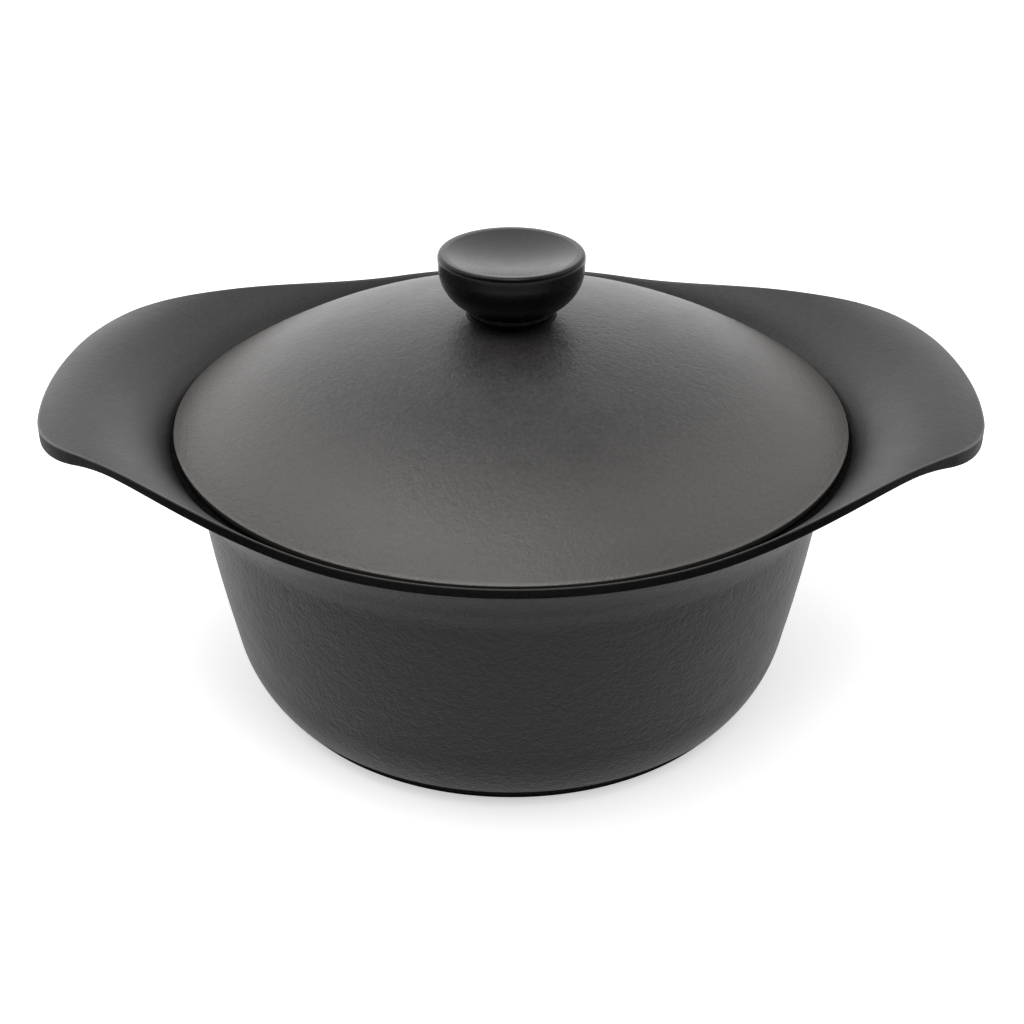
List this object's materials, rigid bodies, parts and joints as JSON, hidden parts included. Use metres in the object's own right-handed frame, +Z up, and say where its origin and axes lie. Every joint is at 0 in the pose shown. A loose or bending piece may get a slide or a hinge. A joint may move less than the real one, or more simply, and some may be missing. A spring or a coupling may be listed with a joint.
{
  "type": "dutch oven",
  "caption": "Round cast iron cooking pot with a flared rim drawn out into two wing handles, and a domed drop-in lid with a round dished knob.",
  "frame": {"origin": "on the table, under the centre of the pot's foot", "axes": "+X towards one wing handle, +Y across the pot, +Z up"},
  "size_m": [0.3016, 0.2374, 0.1491],
  "materials": {
    "pot_iron": "sand-cast grain under a baked-on matt charcoal seasoning",
    "lid_iron": "fine sand-cast grain, matt charcoal seasoning with a slight sheen",
    "dark_steel": "darkened steel, satin",
    "knob_phenolic": "black moulded heat-resistant resin, smooth satin",
    "insert_brass": "turned brass",
    "fastener_steel": "bright stainless steel"
  },
  "bodies": {
    "pot": {"pot_body": "pot_iron"},
    "lid_fastening": {"knob_screw": "fastener_steel", "flat_washer": "fastener_steel", "spring_washer": "fastener_steel"},
    "lid": {"lid": "lid_iron", "knob_seat_washer": "dark_steel", "lid_knob": "knob_phenolic", "knob_insert": "insert_brass"}
  },
  "joints": [
    {"name": "lid_lift", "type": "slide", "parent": "pot", "child": "lid_fastening", "axis": [0, 0, 1], "range_m": [0, 0.12]},
    {"name": "lid_turn", "type": "hinge", "parent": "lid_fastening", "child": "lid", "pos_m": [0, 0, 0.12], "axis": [0, 0, 1], "continuous": true}
  ]
}
